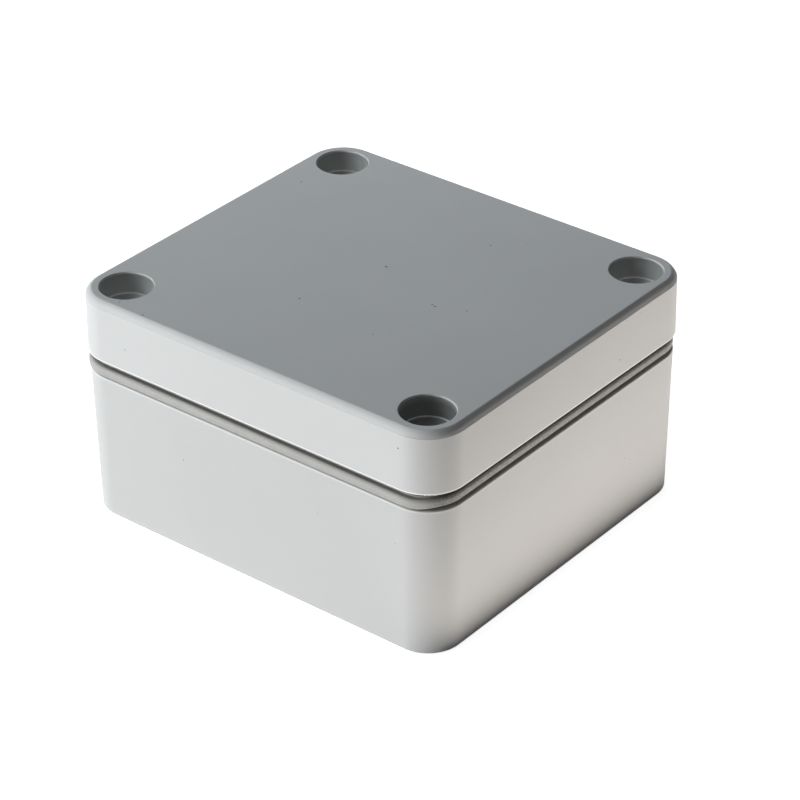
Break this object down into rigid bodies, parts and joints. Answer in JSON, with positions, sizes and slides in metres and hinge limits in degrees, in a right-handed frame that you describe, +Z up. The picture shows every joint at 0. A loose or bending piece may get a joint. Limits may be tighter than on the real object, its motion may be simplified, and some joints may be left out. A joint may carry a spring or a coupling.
{
  "type": "plastic enclosure",
  "caption": "Small sealed plastic enclosure: deep base and shallow screw-down lid with an elastomer seal in the seam, board bosses inside.",
  "frame": {"origin": "middle of the underside, on the surface the enclosure stands on", "axes": "+Z up through the lid, X along the longer side, -Y the side that the picture shows on the left"},
  "size_m": [0.064, 0.058, 0.035],
  "materials": {
    "enclosure_plastic": "fine matt light grey",
    "seal_elastomer": "smooth mid grey elastomer",
    "screw_steel": "bright stainless steel",
    "ring_rubber": "black rubber",
    "insert_brass": "turned brass"
  },
  "bodies": {
    "base": {"base_box": "enclosure_plastic", "lid_seal": "seal_elastomer", "threaded_insert_front_left": "insert_brass", "threaded_insert_front_right": "insert_brass", "threaded_insert_back_left": "insert_brass", "threaded_insert_back_right": "insert_brass"},
    "lid": {"lid": "enclosure_plastic"},
    "ring_front_left": {"screw_ring_front_left": "ring_rubber"},
    "screw_front_left": {"lid_screw_front_left": "screw_steel"},
    "ring_front_right": {"screw_ring_front_right": "ring_rubber"},
    "screw_front_right": {"lid_screw_front_right": "screw_steel"},
    "ring_back_left": {"screw_ring_back_left": "ring_rubber"},
    "screw_back_left": {"lid_screw_back_left": "screw_steel"},
    "ring_back_right": {"screw_ring_back_right": "ring_rubber"},
    "screw_back_right": {"lid_screw_back_right": "screw_steel"}
  },
  "joints": [
    {"name": "lid_lift_off", "type": "slide", "parent": "base", "child": "lid", "axis": [0, 0, 1], "range_m": [0, 0.035]},
    {"name": "screw_rise_front_left", "type": "slide", "parent": "lid", "child": "ring_front_left", "axis": [0, 0, 1], "range_m": [0, 0.006]},
    {"name": "screw_turn_front_left", "type": "hinge", "parent": "ring_front_left", "child": "screw_front_left", "pos_m": [-0.0262, -0.0232, 0.0288], "axis": [0, 0, 1], "range_deg": [0, 4320]},
    {"name": "screw_rise_front_right", "type": "slide", "parent": "lid", "child": "ring_front_right", "axis": [0, 0, 1], "range_m": [0, 0.006]},
    {"name": "screw_turn_front_right", "type": "hinge", "parent": "ring_front_right", "child": "screw_front_right", "pos_m": [0.0262, -0.0232, 0.0288], "axis": [0, 0, 1], "range_deg": [0, 4320]},
    {"name": "screw_rise_back_left", "type": "slide", "parent": "lid", "child": "ring_back_left", "axis": [0, 0, 1], "range_m": [0, 0.006]},
    {"name": "screw_turn_back_left", "type": "hinge", "parent": "ring_back_left", "child": "screw_back_left", "pos_m": [-0.0262, 0.0232, 0.0288], "axis": [0, 0, 1], "range_deg": [0, 4320]},
    {"name": "screw_rise_back_right", "type": "slide", "parent": "lid", "child": "ring_back_right", "axis": [0, 0, 1], "range_m": [0, 0.006]},
    {"name": "screw_turn_back_right", "type": "hinge", "parent": "ring_back_right", "child": "screw_back_right", "pos_m": [0.0262, 0.0232, 0.0288], "axis": [0, 0, 1], "range_deg": [0, 4320]}
  ],
  "couplings": [
    {"joint": "screw_turn_front_left", "follows": "screw_rise_front_left", "rad_per_m": 12566},
    {"joint": "screw_turn_front_right", "follows": "screw_rise_front_right", "rad_per_m": 12566},
    {"joint": "screw_turn_back_left", "follows": "screw_rise_back_left", "rad_per_m": 12566},
    {"joint": "screw_turn_back_right", "follows": "screw_rise_back_right", "rad_per_m": 12566}
  ]
}
